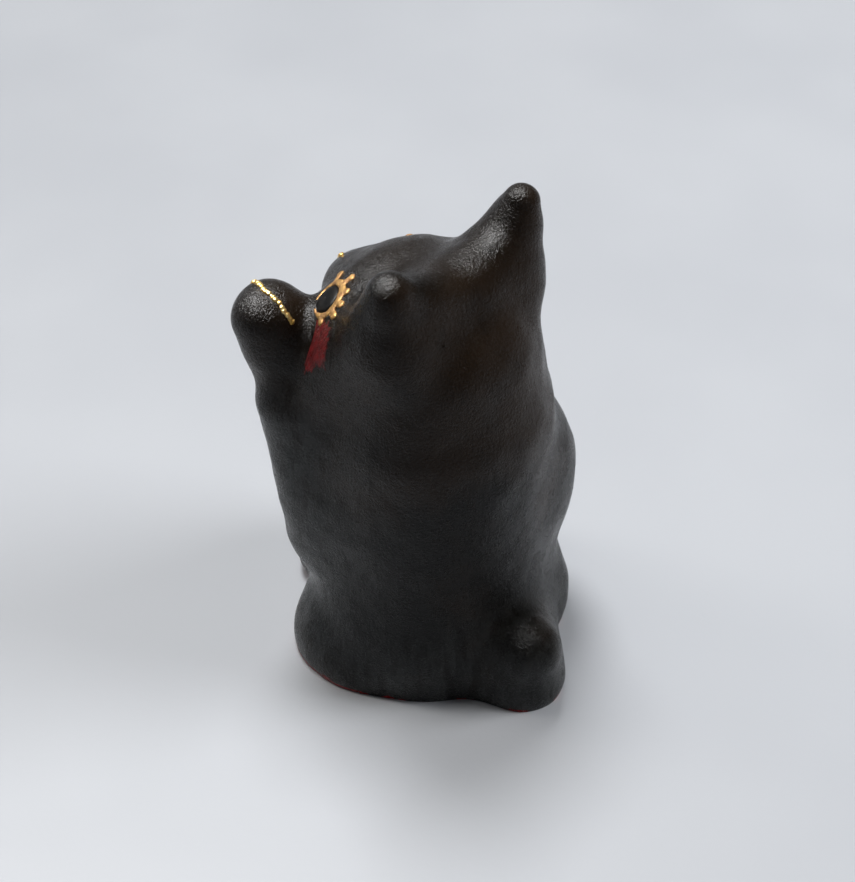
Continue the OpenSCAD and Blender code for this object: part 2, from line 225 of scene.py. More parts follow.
def without_paw(p):
    """The figure's surface as it runs on below the raised paw, for the marks of the face."""
    d = body(p)
    for name in ("left_ear", "right_ear", "nose"):
        field, fillet = LUMPS[name]
        d = melt(d, field(p), fillet)
    return d + dents(p)


def gradient(field, p, e=0.02):
    g = np.stack([field(p + e * axis) - field(p - e * axis) for axis in np.eye(3, dtype=np.float32)], -1)
    return g / (2 * e)


def normal(field, p):
    g = gradient(field, p)
    return g / np.linalg.norm(g, axis=-1, keepdims=True)


def settle(field, p, rounds=3):
    """Moves points onto the zero surface of a field."""
    for _ in range(rounds):
        g = gradient(field, p)
        p = p - g * (field(p) / np.maximum((g * g).sum(-1), 1e-6))[..., None]
    return p


# ---------------------------------------------------------------- the skin as a mesh


def sample(field, axes, block=12):
    """A field's values on a grid, worked out in slabs to save memory."""
    out = np.empty([len(a) for a in axes], np.float32)
    for i in range(0, len(axes[0]), block):
        p = np.stack(np.meshgrid(axes[0][i : i + block], axes[1], axes[2], indexing="ij"), -1)
        out[i : i + block] = field(p.astype(np.float32))
    return out


def skin_net(field, low, high, step):
    """One quad mesh of a field's zero surface: a vertex for each grid cell that the surface crosses."""
    axes = [np.arange(low[i], high[i] + step, step) for i in range(3)]
    inside = sample(field, axes) < 0
    corner = inside[:-1, :-1, :-1].astype(np.int8)
    count = np.zeros_like(corner)
    for dx in (0, 1):
        for dy in (0, 1):
            for dz in (0, 1):
                n = [s - 1 for s in inside.shape]
                count += inside[dx : dx + n[0], dy : dy + n[1], dz : dz + n[2]]
    cells = np.argwhere((count > 0) & (count < 8))
    index = np.full(count.shape, -1, np.int32)
    index[tuple(cells.T)] = np.arange(len(cells))
    points = np.stack([axes[i][0] + (cells[:, i] + 0.5) * step for i in range(3)], -1).astype(np.float32)
    quads = []
    for a in range(3):
        b, c = (a + 1) % 3, (a + 2) % 3
        near = [slice(None)] * 3
        far = [slice(None)] * 3
        near[a], far[a] = slice(0, -1), slice(1, None)
        first, second = inside[tuple(near)], inside[tuple(far)]
        edges = np.argwhere(first != second)
        leaving = first[tuple(edges.T)]
        keep = (edges[:, b] > 0) & (edges[:, c] > 0)
        keep &= (edges[:, b] < inside.shape[b] - 1) & (edges[:, c] < inside.shape[c] - 1)
        edges, leaving = edges[keep], leaving[keep]
        ring = []
        for db, dc in ((-1, -1), (0, -1), (0, 0), (-1, 0)):
            cell = edges.copy()
            cell[:, b] += db
            cell[:, c] += dc
            ring.append(index[tuple(cell.T)])
        ring = np.stack(ring, -1)
        ring[~leaving] = ring[~leaving][:, ::-1]
        quads.append(ring)
    return points, np.concatenate(quads)


def relax(points, quads, field, rounds=3, pull=0.5):
    """Evens out the net: each vertex moves towards its neighbours, then back onto the surface."""
    a = quads.ravel()
    b = np.roll(quads, -1, axis=1).ravel()
    ends = np.concatenate([a, b])
    others = np.concatenate([b, a])
    degree = np.maximum(np.bincount(ends, minlength=len(points)), 1)[:, None]
    for _ in range(rounds):
        total = np.stack([np.bincount(ends, points[others, i], len(points)) for i in range(3)], -1)
        points = points + pull * (total / degree - points)
        points = settle(field, points.astype(np.float32), 1)
    return settle(field, points, 2)


# ---------------------------------------------------------------- cutting the skin into pieces

STEP = 0.35          # size of a face of the skin
FEATHER = 0.12       # thickness at which a lump's edge begins
WALL = 3.0           # thickness of the shells
CAP_GAP = 1.2        # distance between the rings that close a lump underneath


def dented_body(p):
    return body(p) + dents(p)


def floor_of(p):
    """The height at which the dark clay ends: above the red edge in front, on the table behind."""
    return np.where(p[..., 1] < SEAM_Y, RIM_H, 0.0)


def label_faces(centres):
    names = ["front_shell", "back_shell", *LUMPS]
    label = (centres[:, 1] >= SEAM_Y).astype(np.int8)
    nearest = np.stack([field(centres) for field, _ in LUMPS.values()], -1).argmin(-1)
    on_lump = dented_body(centres) > FEATHER
    label[on_lump] = 2 + nearest[on_lump]
    label[centres[:, 2] < floor_of(centres)] = -1
    return names, label


def largest_only(quads, label, wanted, fallback):
    """Gives a label's stray islands to the shells, so that each lump is one patch."""
    chosen = np.nonzero(label == wanted)[0]
    faces = quads[chosen]
    owner = np.full(faces.max() + 1, len(faces), np.int64)
    mine = np.arange(len(faces))
    while True:
        before = mine.copy()
        owner[:] = len(faces)
        np.minimum.at(owner, faces.ravel(), np.repeat(mine, 4))
        mine = owner[faces].min(1)
        if (mine == before).all():
            break
    main = np.bincount(mine).argmax()
    label[chosen[mine != main]] = fallback[chosen[mine != main]]


def slide(points, picked, value, n, reach):
    """Moves picked points within the surface until value is nought there, by no more than reach."""
    p = points[picked]
    g = gradient(value, p)
    along = n[picked]
    g -= (g * along).sum(-1, keepdims=True) * along
    move = -g * (value(p) / np.maximum((g * g).sum(-1), 1e-3))[:, None]
    length = np.linalg.norm(move, axis=1, keepdims=True)
    points[picked] = p + move * np.minimum(1, reach / np.maximum(length, 1e-9))


def tidy_edges(points, quads, label, names):
    """Brings the edges between pieces onto the lines where the pieces really meet."""
    n = normal(figure, points)
    touch = np.zeros((len(points), len(names) + 1), bool)
    for corner in range(4):
        touch[quads[:, corner], label] = True
    below = touch[:, -1]
    on_lump = touch[:, 2:-1].any(-1)
    on_shell = touch[:, :2].any(-1)
    several = touch[:, :-1].sum(-1) > 1
    rim = on_lump & on_shell & several & ~below
    slide(points, rim, lambda p: dented_body(p) - FEATHER, n, 0.6 * STEP)
    seam = touch[:, 0] & touch[:, 1] & ~on_lump & ~below
    slide(points, seam, lambda p: p[..., 1] - SEAM_Y, n, 0.6 * STEP)
    edge = below & (on_shell | on_lump)
    slide(points, edge, lambda p: p[..., 2] - floor_of(p), n, 1.5 * STEP)
    points[edge, 2] = floor_of(points[edge])
    return points


def open_edges(faces):
    """The directed edges that only one face has, as start and end corners."""
    a = np.concatenate([f for f in faces])
    b = np.concatenate([np.roll(f, -1) for f in faces])
    key = a.astype(np.int64) * (1 << 32) + b
    back = b.astype(np.int64) * (1 << 32) + a
    lone = ~np.isin(key, back)
    return a[lone], b[lone]


def loops_of(faces):
    start, end = open_edges(faces)
    follow = dict(zip(start.tolist(), end.tolist()))
    loops = []
    while follow:
        first, at = follow.popitem()
        loop = [first]
        while at in follow:
            loop.append(at)
            at = follow.pop(at)
        loops.append(loop)
    return loops


def cap(points, loop):
    """Rings from a loop to its middle, laid on the body: closes a lump underneath."""
    rim = points[loop]
    middle = rim.mean(0)
    reach = np.linalg.norm(rim - middle, axis=1).max()
    rounds = max(3, int(reach / CAP_GAP))
    added = [rim + (middle - rim) * (j / rounds) for j in range(1, rounds)]
    added = np.concatenate([*added, middle[None]]).astype(np.float32)
    added = settle(lambda p: dented_body(p) + 0.01, added, 3)
    added[:, 2] = np.maximum(added[:, 2], rim[:, 2].min())
    base, n = len(points), len(loop)
    rows = [np.array(loop)] + [base + j * n + np.arange(n) for j in range(rounds - 1)]
    faces = []
    for row, after in zip(rows, rows[1:]):
        faces += np.stack([row, np.roll(row, -1), np.roll(after, -1), after], -1).tolist()
    hub = base + (rounds - 1) * n
    faces += [[a, b, hub] for a, b in zip(rows[-1].tolist(), np.roll(rows[-1], -1).tolist())]
    return np.concatenate([points, added]), [f[::-1] for f in faces]


def sink(points, depth, step=0.3):
    """Carries points inwards along the field's slope, which keeps the inner skin free of folds."""
    p = points.copy()
    for _ in range(int(round(depth / step))):
        p -= step * normal(body, p)
        p[:, 2] = np.maximum(p[:, 2], floor_of(points))
    return p


# ---------------------------------------------------------------- meshes


def add_mesh(name, points, faces, normals=None):
    """A mesh object from drawn millimetres; normals are given corner by corner."""
    mesh = bpy.data.meshes.new(name)
    places = (np.asarray(points, float) * UNIT * MM).tolist()
    mesh.from_pydata(places, [], [list(map(int, f)) for f in faces])
    mesh.polygons.foreach_set("use_smooth", [True] * len(mesh.polygons))
    if normals is not None:
        mesh.normals_split_custom_set(normals.tolist())
    mesh.update()
    made = bpy.data.objects.new(name, mesh)
    bpy.context.scene.collection.objects.link(made)
    return made


def flat_normals(points, faces):
    """One normal for each face corner, from the face itself."""
    out = []
    for f in faces:
        a, b, c = points[f[0]], points[f[1]], points[f[2]]
        n = np.cross(b - a, c - a)
        out += [n / max(np.linalg.norm(n), 1e-12)] * len(f)
    return np.array(out)


def piece(made, material, node):
    """Puts a mesh in the place of a CAD node."""
    made.data.materials.append(material)
    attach(made, "root")
    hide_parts(node)


def clay_piece(name, points, outer, under, material):
    """A lump: its outer patch and the faces that close it underneath."""
    faces = [*outer.tolist(), *under]
    used, flat = np.unique(np.concatenate([np.array(f) for f in faces]), return_inverse=True)
    sizes = np.cumsum([0] + [len(f) for f in faces])
    faces = [flat[a:b].tolist() for a, b in zip(sizes, sizes[1:])]
    points = points[used]
    skin_normals = normal(figure, points)
    corner = skin_normals[np.concatenate(faces[: len(outer)])]
    corner = np.concatenate([corner, flat_normals(points, faces[len(outer) :])])
    piece(add_mesh(name + "_clay", points, faces, corner), material, name)


def shell_piece(name, points, outer, covered, material):
    """Half of the body: the outer skin, also under the lumps, the inner skin and the edges between."""
    faces = [*outer.tolist(), *covered]
    used, flat = np.unique(np.concatenate([np.array(f) for f in faces]), return_inverse=True)
    sizes = np.cumsum([0] + [len(f) for f in faces])
    faces = [flat[a:b].tolist() for a, b in zip(sizes, sizes[1:])]
    skin = points[used]
    n = len(skin)
    inner = sink(skin, WALL)
    start, end = open_edges([np.array(f) for f in faces])
    sides = np.stack([end, start, start + n, end + n], -1).tolist()
    inside = [[c + n for c in f[::-1]] for f in faces]
    skin_normals = normal(figure, skin)
    all_points = np.concatenate([skin, inner])
    corner = np.concatenate([
        skin_normals[np.concatenate(faces)],
        -skin_normals[np.concatenate(inside) - n],
        flat_normals(all_points, sides),
    ])
    piece(add_mesh(name + "_clay", all_points, faces + inside + sides, corner), material, name)


def build_clay(material, nose_material):
    low = np.array((-23, -23, -1.5), np.float32)
    high = np.array((23, 28, DRAWN_H + 1.5), np.float32)
    step = STEP * 1
    points, quads = skin_net(figure, low, high, step)
    points = relax(points, quads, figure)
    names, label = label_faces(points[quads].mean(1))
    shell_label = (points[quads].mean(1)[:, 1] >= SEAM_Y).astype(np.int8)
    for i in range(2, len(names)):
        largest_only(quads, label, i, shell_label)
    points = tidy_edges(points, quads, label, names)
    covered = {0: [], 1: []}
    under = {}
    for i in range(2, len(names)):
        under[i] = []
        for loop in loops_of(list(quads[label == i])):
            points, lid = cap(points, loop[::-1])
            under[i] += [f[::-1] for f in lid]
            for f in lid:
                covered[int(points[f][:, 1].mean() >= SEAM_Y)].append(f)
    for i, name in enumerate(names):
        outer = quads[label == i]
        if i < 2:
            shell_piece(name, points, outer, covered[i], material)
        else:
            clay_piece(name, points, outer, under[i], nose_material if name == "nose" else material)


def cast(field, start, ways, reach=14.0):
    """Where rays from inside leave a field."""
    ways = (ways / np.linalg.norm(ways, axis=-1, keepdims=True)).astype(np.float32)
    start = np.array(start, np.float32)
    near, far = np.zeros(len(ways)), np.full(len(ways), reach)
    for _ in range(24):
        half = (near + far) / 2
        inside = field((start + half[:, None] * ways).astype(np.float32)) < 0
        near, far = np.where(inside, half, near), np.where(inside, far, half)
    return (start + near[:, None] * ways).astype(np.float32)


def tube(rows, closed=False):
    """Faces between rows of points; each row runs round once. Closed joins the last row to the first."""
    m, n = rows.shape[:2]
    index = np.arange(m * n).reshape(m, n)
    after = np.roll(index, -1, axis=0) if closed else index[1:]
    here = index if closed else index[:-1]
    quads = np.stack([here, np.roll(here, -1, axis=1), np.roll(after, -1, axis=1), after], -1)
    return rows.reshape(-1, 3), quads.reshape(-1, 4).tolist()


VENT_R = 2.0          # radius of the vent hole in the slab
VENT_Y = 9.0          # its middle
SLAB_PLAY = 0.15      # gap between the slab and the wall round it


def build_slab(material):
    """The red underside: its edge shows in front, and behind it sits inside the wall."""
    count = 360
    turns = np.linspace(0, 2 * math.pi, count, endpoint=False)
    ways = np.stack([np.cos(turns), np.sin(turns), np.zeros(count)], -1)
    front = np.sin(turns) < -0.01
    shell_edge = cast(figure, (0, SEAM_Y, RIM_H), ways, 40)
    inner = cast(lambda p: body(p) + WALL + SLAB_PLAY, (0, SEAM_Y, 0), ways, 40)
    outline = np.where(front[:, None], shell_edge - 0.06 * ways, inner)
    rows = []
    for inset, height in ((0.4, 0.0), (0.12, 0.06), (0.0, 0.22), (0.0, RIM_H)):
        row = outline - inset * ways
        row[:, 2] = height
        rows.append(row)
    for height in (RIM_H, SLAB_T):
        row = inner - 0.02 * ways
        row[:, 2] = height
        rows.append(row)
    for height in (SLAB_T, 0.0):
        row = VENT_R * ways + (0, VENT_Y, 0)
        row[:, 2] = height
        rows.append(row)
    points, faces = tube(np.array(rows), closed=True)
    piece(add_mesh("base_slab_paint", points, faces, flat_normals(points, faces)), material, "base_slab")


# ---------------------------------------------------------------- marks laid on the skin


def plane_of(axis):
    """Level and upward directions across an axis."""
    axis = np.array(axis, float) / np.linalg.norm(axis)
    across = np.cross((0, 0, 1), axis)
    across /= np.linalg.norm(across)
    return across, np.cross(axis, across), axis


# Where the marks sit on the head, and the directions that they face.
LEFT_EYE = ((9, -8.5, 58.8), (0.52, -0.42, 0.74))
RIGHT_EYE = ((7.4, -10.5, 57.5), (0.4, -0.68, 0.6))
CHEEK_MID = (13.2, -6.3, 55.2)
CHEEK_AXIS = (0.75, -0.45, 0.48)
START_OFF = 1.2       # how far outside the skin a mark's points start
MARCH_STEPS = 16      # steps in which they come down to it
MARCH_SHARE = 0.95    # share of the distance left that each step takes


class Spot:
    """A place on the head with polar coordinates laid on the skin; flip mirrors it to the right side."""

    def __init__(self, mid, axis, flip):
        self.mid, self.flip = np.array(mid, float), flip
        self.across, self.up, self.axis = plane_of(axis)

    def lay(self, r, a, h):
        """Rows of points on the head at reach r and angle a, lifted by h, as if there were no paw."""
        flat = r[..., None] * (np.cos(a)[..., None] * self.across + np.sin(a)[..., None] * self.up)
        side = FLIP_X if self.flip else np.ones(3, np.float32)
        p = ((self.mid + flat + START_OFF * self.axis) * side).astype(np.float32)
        way = (self.axis * side).astype(np.float32)
        for _ in range(MARCH_STEPS):
            p = p - MARCH_SHARE * without_paw(p)[..., None] * way
        return p + normal(without_paw, p) * np.broadcast_to(h, r.shape)[..., None]

    def faces(self, quads):
        return [f[::-1] for f in quads] if self.flip else quads


def oval(a, wide, tall):
    return 1 / np.sqrt((np.cos(a) / wide) ** 2 + (np.sin(a) / tall) ** 2)


def pupil_reach(a):
    return oval(a - math.radians(50), 1.8, 1.95)


# The gold knobs round the eye: angle in degrees, distance of the knob's middle from the black, radius.
KNOBS = [(-35, 1.2, 0.5), (9, 1.9, 0.55), (35, 1.75, 0.52), (67, 1.55, 0.5), (101, 2.2, 0.5), (148, 2, 0.6)]
NECK_R = 0.33         # half the width of a knob's neck
RING_H = 0.2          # height of the gold round the eyes
BEAD_H = 0.32         # height of a gold line BEAD_W wide
BEAD_W = 0.8
PUPIL_H = 0.3         # height of the black at its middle
PUPIL_ROOT = 0.1      # how deep the black reaches into the clay
ROOT = 0.12           # how deep the gold reaches into the clay
RING_CLEAR = 0.06     # bare edge between the black and the gold


def ring_gap(r, a):
    """How far a point lies outside the gold of the eye ring."""
    half = 0.25 + 0.17 * (1 + np.cos(a - math.radians(60)))
    d = np.abs(r - pupil_reach(a) - RING_CLEAR - half) - half
    d = d - 0.05 * np.sin(7 * a) - 0.03 * np.sin(13 * a + 1)
    for degrees, rise, size in KNOBS:
        knob = math.radians(degrees)
        root = pupil_reach(knob) + 0.6
        tip = pupil_reach(knob) + rise
        along = r * np.cos(a - knob)
        aside = r * np.sin(a - knob)
        neck = np.hypot(along - np.clip(along, root, tip), aside) - NECK_R
        d = melt(d, melt(neck, np.hypot(along - tip, aside) - size, 0.3), 0.35)
    return d


def build_eye(side, flip, gold, black):
    spot = Spot(*(RIGHT_EYE if flip else LEFT_EYE), flip)
    count = 720
    turns = np.linspace(0, 2 * math.pi, count, endpoint=False)
    probe = np.linspace(0, 3.4, 341)
    inner = pupil_reach(turns) + RING_CLEAR
    gap = ring_gap(inner[:, None] + probe, turns[:, None])
    last = gap.shape[1] - 1 - np.argmax(gap[:, ::-1] < 0, axis=1)
    outer = inner + probe[last] + 0.01
    share = np.array([*np.linspace(0, 1, 17), 1, 0])[:, None]
    reach = inner + (outer - inner) * share
    depth = np.clip(-ring_gap(reach, turns) / 0.4, 0, 1)
    height = RING_H * np.sqrt(1 - (1 - depth) ** 2)
    height[-2:] = -ROOT
    points, quads = tube(spot.lay(reach, turns + 0 * reach, height), closed=True)
    quads = spot.faces([f[::-1] for f in quads])
    piece(add_mesh(side + "_eye_ring_gold", points, quads), gold, side + "_eye_ring")
    share = np.array([*np.sin(np.linspace(0.03, math.pi / 2, 20)), 1.0, 0.03])[:, None]
    height = PUPIL_H * np.sqrt(1 - share**4)
    height[-2:] = -PUPIL_ROOT
    reach = share * pupil_reach(turns)
    points, quads = tube(spot.lay(reach, turns + 0 * reach, height), closed=True)
    quads = spot.faces([f[::-1] for f in quads])
    piece(add_mesh(side + "_pupil_gloss", points, quads), black, side + "_pupil")


PAINT_FADE = 1.3      # reach of the film, as a share of the patch that shows
PAINT_DEPTH = 0.7     # how deep under the paw's fillet the film may run
PAINT_T = 0.025       # thickness of the film above the clay
PAINT_ROOT = 0.08     # how deep its back lies in the clay
PAINT_BLUR = 5        # steps on each side over which its outline is evened out


def build_cheek(side, flip, red):
    """A thin film of paint; its brushed edge is in the material, by the distance kept in each point."""
    spot = Spot(CHEEK_MID, CHEEK_AXIS, flip)
    count = 160
    turns = np.linspace(0, 2 * math.pi, count, endpoint=False)
    reach = oval(turns, 3.1, 3.6) * (1 + 0.07 * np.sin(3 * turns + 0.7) + 0.05 * np.cos(5 * turns))
    share = np.array([*np.linspace(0.02, PAINT_FADE, 40), PAINT_FADE, 0.02])[:, None]
    buried = figure(spot.lay(share * reach, turns + 0 * share, 0)) < -PAINT_DEPTH
    clear = np.where(buried.any(0), share[buried.argmax(0), 0] / PAINT_FADE, 1)
    steps = range(-PAINT_BLUR, PAINT_BLUR + 1)
    clear = np.min([np.roll(clear, i) for i in steps], 0)
    reach = reach * np.mean([np.roll(clear, i) for i in steps], 0)
    height = np.full(share.shape, PAINT_T)
    height[-2:] = -PAINT_ROOT
    points, quads = tube(spot.lay(share * reach, turns + 0 * share, height), closed=True)
    quads = spot.faces([f[::-1] for f in quads])
    made = add_mesh(side + "_cheek_red", points, quads, normal(without_paw, points)[np.concatenate(quads)])
    layer = made.data.attributes.new("paint_reach", "FLOAT", "POINT")
    layer.data.foreach_set("value", np.repeat(share[:, 0], count).astype(np.float32))
    piece(made, red, side + "_cheek_paint")


def trail(name, node, path, normals, widths, gold):
    """A raised, uneven line of paint along points on the skin, rounded at both ends."""
    along = np.gradient(path, axis=0)
    along /= np.linalg.norm(along, axis=1, keepdims=True)
    side = np.cross(normals, along)
    side /= np.linalg.norm(side, axis=1, keepdims=True)
    run = np.concatenate([[0], np.cumsum(np.linalg.norm(np.diff(path, axis=0), axis=1))])
    end = np.minimum(run, run[-1] - run) / (widths / 2)
    taper = np.sqrt(1 - (1 - np.clip(end, 0.02, 1)) ** 2)
    section = np.linspace(math.pi, 0, 15)
    rows = []
    for t in section:
        rows.append(path + side * (math.cos(t) * taper * widths / 2)[:, None]
                    + normals * (BEAD_H * math.sin(t) * taper * widths / BEAD_W)[:, None])
    rows.append(path + side * (taper * widths / 2)[:, None] - normals * ROOT)
    rows.append(path - side * (taper * widths / 2)[:, None] - normals * ROOT)
    rows = np.array(rows).transpose(1, 0, 2)
    m, n = rows.shape[:2]
    points, quads = tube(rows)
    quads = [f[::-1] for f in quads]
    quads += [list(range(n)), list(range((m - 1) * n, m * n))[::-1]]
    piece(add_mesh(name, points, quads), gold, node)


def build_lines(gold):
    tilts = np.radians(np.linspace(-70, 74, 400))
    degrees = np.degrees(tilts)
    wander = 0.025 * np.sin(0.11 * degrees + 1) + 0.012 * np.sin(0.29 * degrees)
    bow = 0.04 - 0.2 * ((degrees - 20) / 60) ** 2
    ways = np.stack([bow + wander, np.sin(tilts), np.cos(tilts)], -1)
    path = cast(lambda p: melt(dented_body(p), paw(p), PAW_FILLET), PAW_MID, ways)
    swell = 0.13 * np.sin(0.42 * degrees) * np.sin(0.13 * degrees + 2)
    widths = 0.66 + swell + 0.08 * np.sin(0.9 * degrees)
    trail("paw_gold_trail", "paw_gold_line", path, normal(figure, path), widths, gold)
    tilts = np.radians(np.linspace(40, 72, 140))
    degrees = np.degrees(tilts)
    ways = np.stack([0.05 * np.sin(0.19 * degrees), -np.sin(tilts), np.cos(tilts)], -1)
    path = cast(dented_body, (0, -10.5, 52), ways)
    widths = 0.8 - 0.2 * ((degrees - 40) / 34) ** 2 + 0.08 * np.sin(0.8 * degrees)
    trail("nose_gold_trail", "nose_gold_line", path, normal(figure, path), widths, gold)


# ---------------------------------------------------------------- materials


class Nodes:
    """A short way of writing node trees."""

    def __init__(self, name):
        self.material = bpy.data.materials.new(name)
        self.material.use_nodes = True
        self.tree = self.material.node_tree
        self.shader = self.tree.nodes["Principled BSDF"]
        self.place = self.tree.nodes.new("ShaderNodeTexCoord").outputs["Object"]

    def put(self, socket, value):
        if isinstance(value, bpy.types.NodeSocket):
            self.tree.links.new(value, socket)
        elif value is not None:
            socket.default_value = value

    def set(self, **values):
        for name, value in values.items():
            self.put(self.shader.inputs[name.replace("_", " ")], value)

    def math(self, kind, a, b):
        n = self.tree.nodes.new("ShaderNodeMath")
        n.operation = kind
        for socket, value in zip(n.inputs, (a, b)):
            self.put(socket, value)
        return n.outputs[0]

    def noise(self, size, detail=3.0, rough=0.5, stretch=(1, 1, 1), turn=(0, 0, 0), warp=0.0):
        """Noise with features of about size metres, from 0 to 1."""
        m = self.tree.nodes.new("ShaderNodeMapping")
        self.put(m.inputs["Vector"], self.place)
        m.inputs["Rotation"].default_value = turn
        m.inputs["Scale"].default_value = stretch
        n = self.tree.nodes.new("ShaderNodeTexNoise")
        self.put(n.inputs["Vector"], m.outputs[0])
        n.inputs["Scale"].default_value = 1 / size
        n.inputs["Detail"].default_value = detail
        n.inputs["Roughness"].default_value = rough
        n.inputs["Distortion"].default_value = warp
        return n.outputs["Fac"]

    def cells(self, size):
        """Distance to scattered points about size metres apart."""
        n = self.tree.nodes.new("ShaderNodeTexVoronoi")
        self.put(n.inputs["Vector"], self.place)
        n.inputs["Scale"].default_value = 1 / size
        return n.outputs["Distance"]

    def ramp(self, value, low, high, out_low=0.0, out_high=1.0):
        n = self.tree.nodes.new("ShaderNodeMapRange")
        n.interpolation_type = "SMOOTHSTEP"
        for socket, v in zip(n.inputs, (value, low, high, out_low, out_high)):
            self.put(socket, v)
        return n.outputs[0]

    def mix(self, factor, a, b):
        n = self.tree.nodes.new("ShaderNodeMix")
        n.data_type = "RGBA"
        self.put(n.inputs["Factor"], factor)
        for socket, colour in ((n.inputs[6], a), (n.inputs[7], b)):
            self.put(socket, colour if isinstance(colour, bpy.types.NodeSocket) else (*colour, 1))
        return n.outputs[2]

    def bump(self, height, strength, distance, onto=None):
        n = self.tree.nodes.new("ShaderNodeBump")
        self.put(n.inputs["Height"], height)
        n.inputs["Strength"].default_value = strength
        n.inputs["Distance"].default_value = distance
        self.put(n.inputs["Normal"], onto)
        return n.outputs["Normal"]

    def split(self):
        n = self.tree.nodes.new("ShaderNodeSeparateXYZ")
        self.put(n.inputs[0], self.place)
        return n.outputs


INK = (0.0024, 0.0019, 0.0012)
BROWN = (0.0150, 0.0088, 0.0048)
# Painted sheen: the grey that stands in for the pale floor's reflection on the lacquer.
SHEEN_GREY = (0.0600, 0.0650, 0.0640)
DUST = (0.16, 0.15, 0.14)
RED = (0.33, 0.017, 0.018)
RED_DEEP = (0.150, 0.009, 0.009)


def painted_floor_sheen(n, streaks):
    """Painted reflection: a grey sheen of the pale floor on the lacquer, painted into the colour low down
    and along the left flank, in brushed streaks.
    """
    x, y, z = n.split()
    left = n.math("MULTIPLY", n.math("SUBTRACT", x, y), 0.707)
    flank = n.math("MULTIPLY", n.ramp(left, 0.009, 0.017), n.ramp(z, 0.038, 0.052, 1.0, 0.0))
    foot = n.ramp(z, 0.003, 0.021, 0.6, 0.0)
    sheen_amount = n.math("MAXIMUM", flank, foot)
    return n.math("MULTIPLY", sheen_amount, n.ramp(streaks, 0.34, 0.66, 0.15, 1.0))


def clay_layers(n):
    """Colour, roughness and normal of the lacquered clay, shared by every dark piece."""
    broad = n.noise(0.014, 3, 0.55)
    mottle = n.noise(0.0022, 5, 0.6)
    grain = n.noise(0.00034, 3, 0.65)
    streaks = n.noise(0.0011, 4, 0.6, stretch=(1, 1, 0.16), turn=(0.2, 0.1, 0), warp=0.4)
    height = n.split()[2]
    warm = n.math("ADD", n.ramp(height, 0.02, 0.055, -0.12, 0.14), broad)
    colour = n.mix(n.ramp(warm, 0.38, 0.7), INK, BROWN)
    # Painted reflection: the floor's grey sheen mixed into the colour low down and along the left flank.
    colour = n.mix(n.math("MULTIPLY", painted_floor_sheen(n, streaks), 0.75), colour, SHEEN_GREY)
    colour = n.mix(n.math("MULTIPLY", n.ramp(streaks, 0.55, 0.8), 0.35), colour, BROWN)
    specks = n.ramp(n.cells(0.0042), 0.022, 0.036, 1.0, 0.0)
    specks = n.math("MULTIPLY", specks, n.ramp(n.noise(0.01, 2), 0.5, 0.62))
    colour = n.mix(n.math("MULTIPLY", specks, 0.45), colour, DUST)
    rough = n.math("ADD", n.ramp(mottle, 0.3, 0.75, 0.20, 0.34), n.ramp(grain, 0.35, 0.7, -0.05, 0.06))
    normal_out = n.bump(n.noise(0.0045, 3, 0.5), 0.5, 0.0004)
    normal_out = n.bump(streaks, 0.5, 0.00020, normal_out)
    normal_out = n.bump(grain, 0.9, 0.00019, normal_out)
    return colour, rough, normal_out


def brushed_red(n):
    strokes = n.noise(0.0007, 4, 0.6, stretch=(1, 1, 0.25), turn=(0.5, 0.3, 0.4))
    colour = n.mix(n.ramp(strokes, 0.35, 0.65), RED_DEEP, RED)
    return n.mix(n.math("MULTIPLY", n.ramp(n.noise(0.0004, 2), 0.6, 0.75), 0.5), colour, BROWN)


def lacquered_clay():
    n = Nodes("lacquered_clay")
    colour, rough, relief = clay_layers(n)
    _, y, z = n.split()
    lip = n.math("ADD", z, n.ramp(n.noise(0.003, 4, 0.6), 0.3, 0.7, -0.0007, 0.0009))
    lip = n.math("ADD", lip, n.ramp(y, 0.004, 0.012, 0.0, 0.0008))
    on_lip = n.ramp(lip, 0.0004, 0.0009, 1.0, 0.0)
    colour = n.mix(on_lip, colour, brushed_red(n))
    n.set(Base_Color=colour, Roughness=rough, Normal=relief, IOR=1.45, Specular_IOR_Level=0.2)
    return n.material


def glossy_black():
    n = Nodes("glossy_black_paint")
    cloud = n.noise(0.0012, 3)
    n.set(
        Base_Color=n.mix(n.ramp(cloud, 0.4, 0.7), (0.003, 0.003, 0.0025), (0.009, 0.007, 0.005)),
        Roughness=n.ramp(cloud, 0.3, 0.7, 0.36, 0.5),
        Normal=n.bump(n.noise(0.0005, 3), 0.4, 0.00008),
        IOR=1.45,
        Specular_IOR_Level=0.12,
    )
    return n.material


def gold_paint(name, metal, dull, bright):
    """Bronze powder in varnish: the more metal shows, the smoother it is."""
    n = Nodes(name)
    patch = n.noise(0.0008, 4, 0.6)
    flake = n.noise(0.00018, 2, 0.7)
    colour = n.mix(n.ramp(patch, 0.35, 0.65), dull, bright)
    colour = n.mix(n.math("MULTIPLY", n.ramp(flake, 0.5, 0.68), 0.45), colour, (0.20, 0.09, 0.025))
    smooth = 0.55 - 0.3 * metal
    n.set(
        Base_Color=colour,
        Metallic=metal,
        Roughness=n.ramp(patch, 0.3, 0.7, smooth + 0.12, smooth),
        Normal=n.bump(flake, 0.5, 0.00008, n.bump(patch, 0.6, 0.0002)),
        Specular_IOR_Level=0.35,
    )
    return n.material


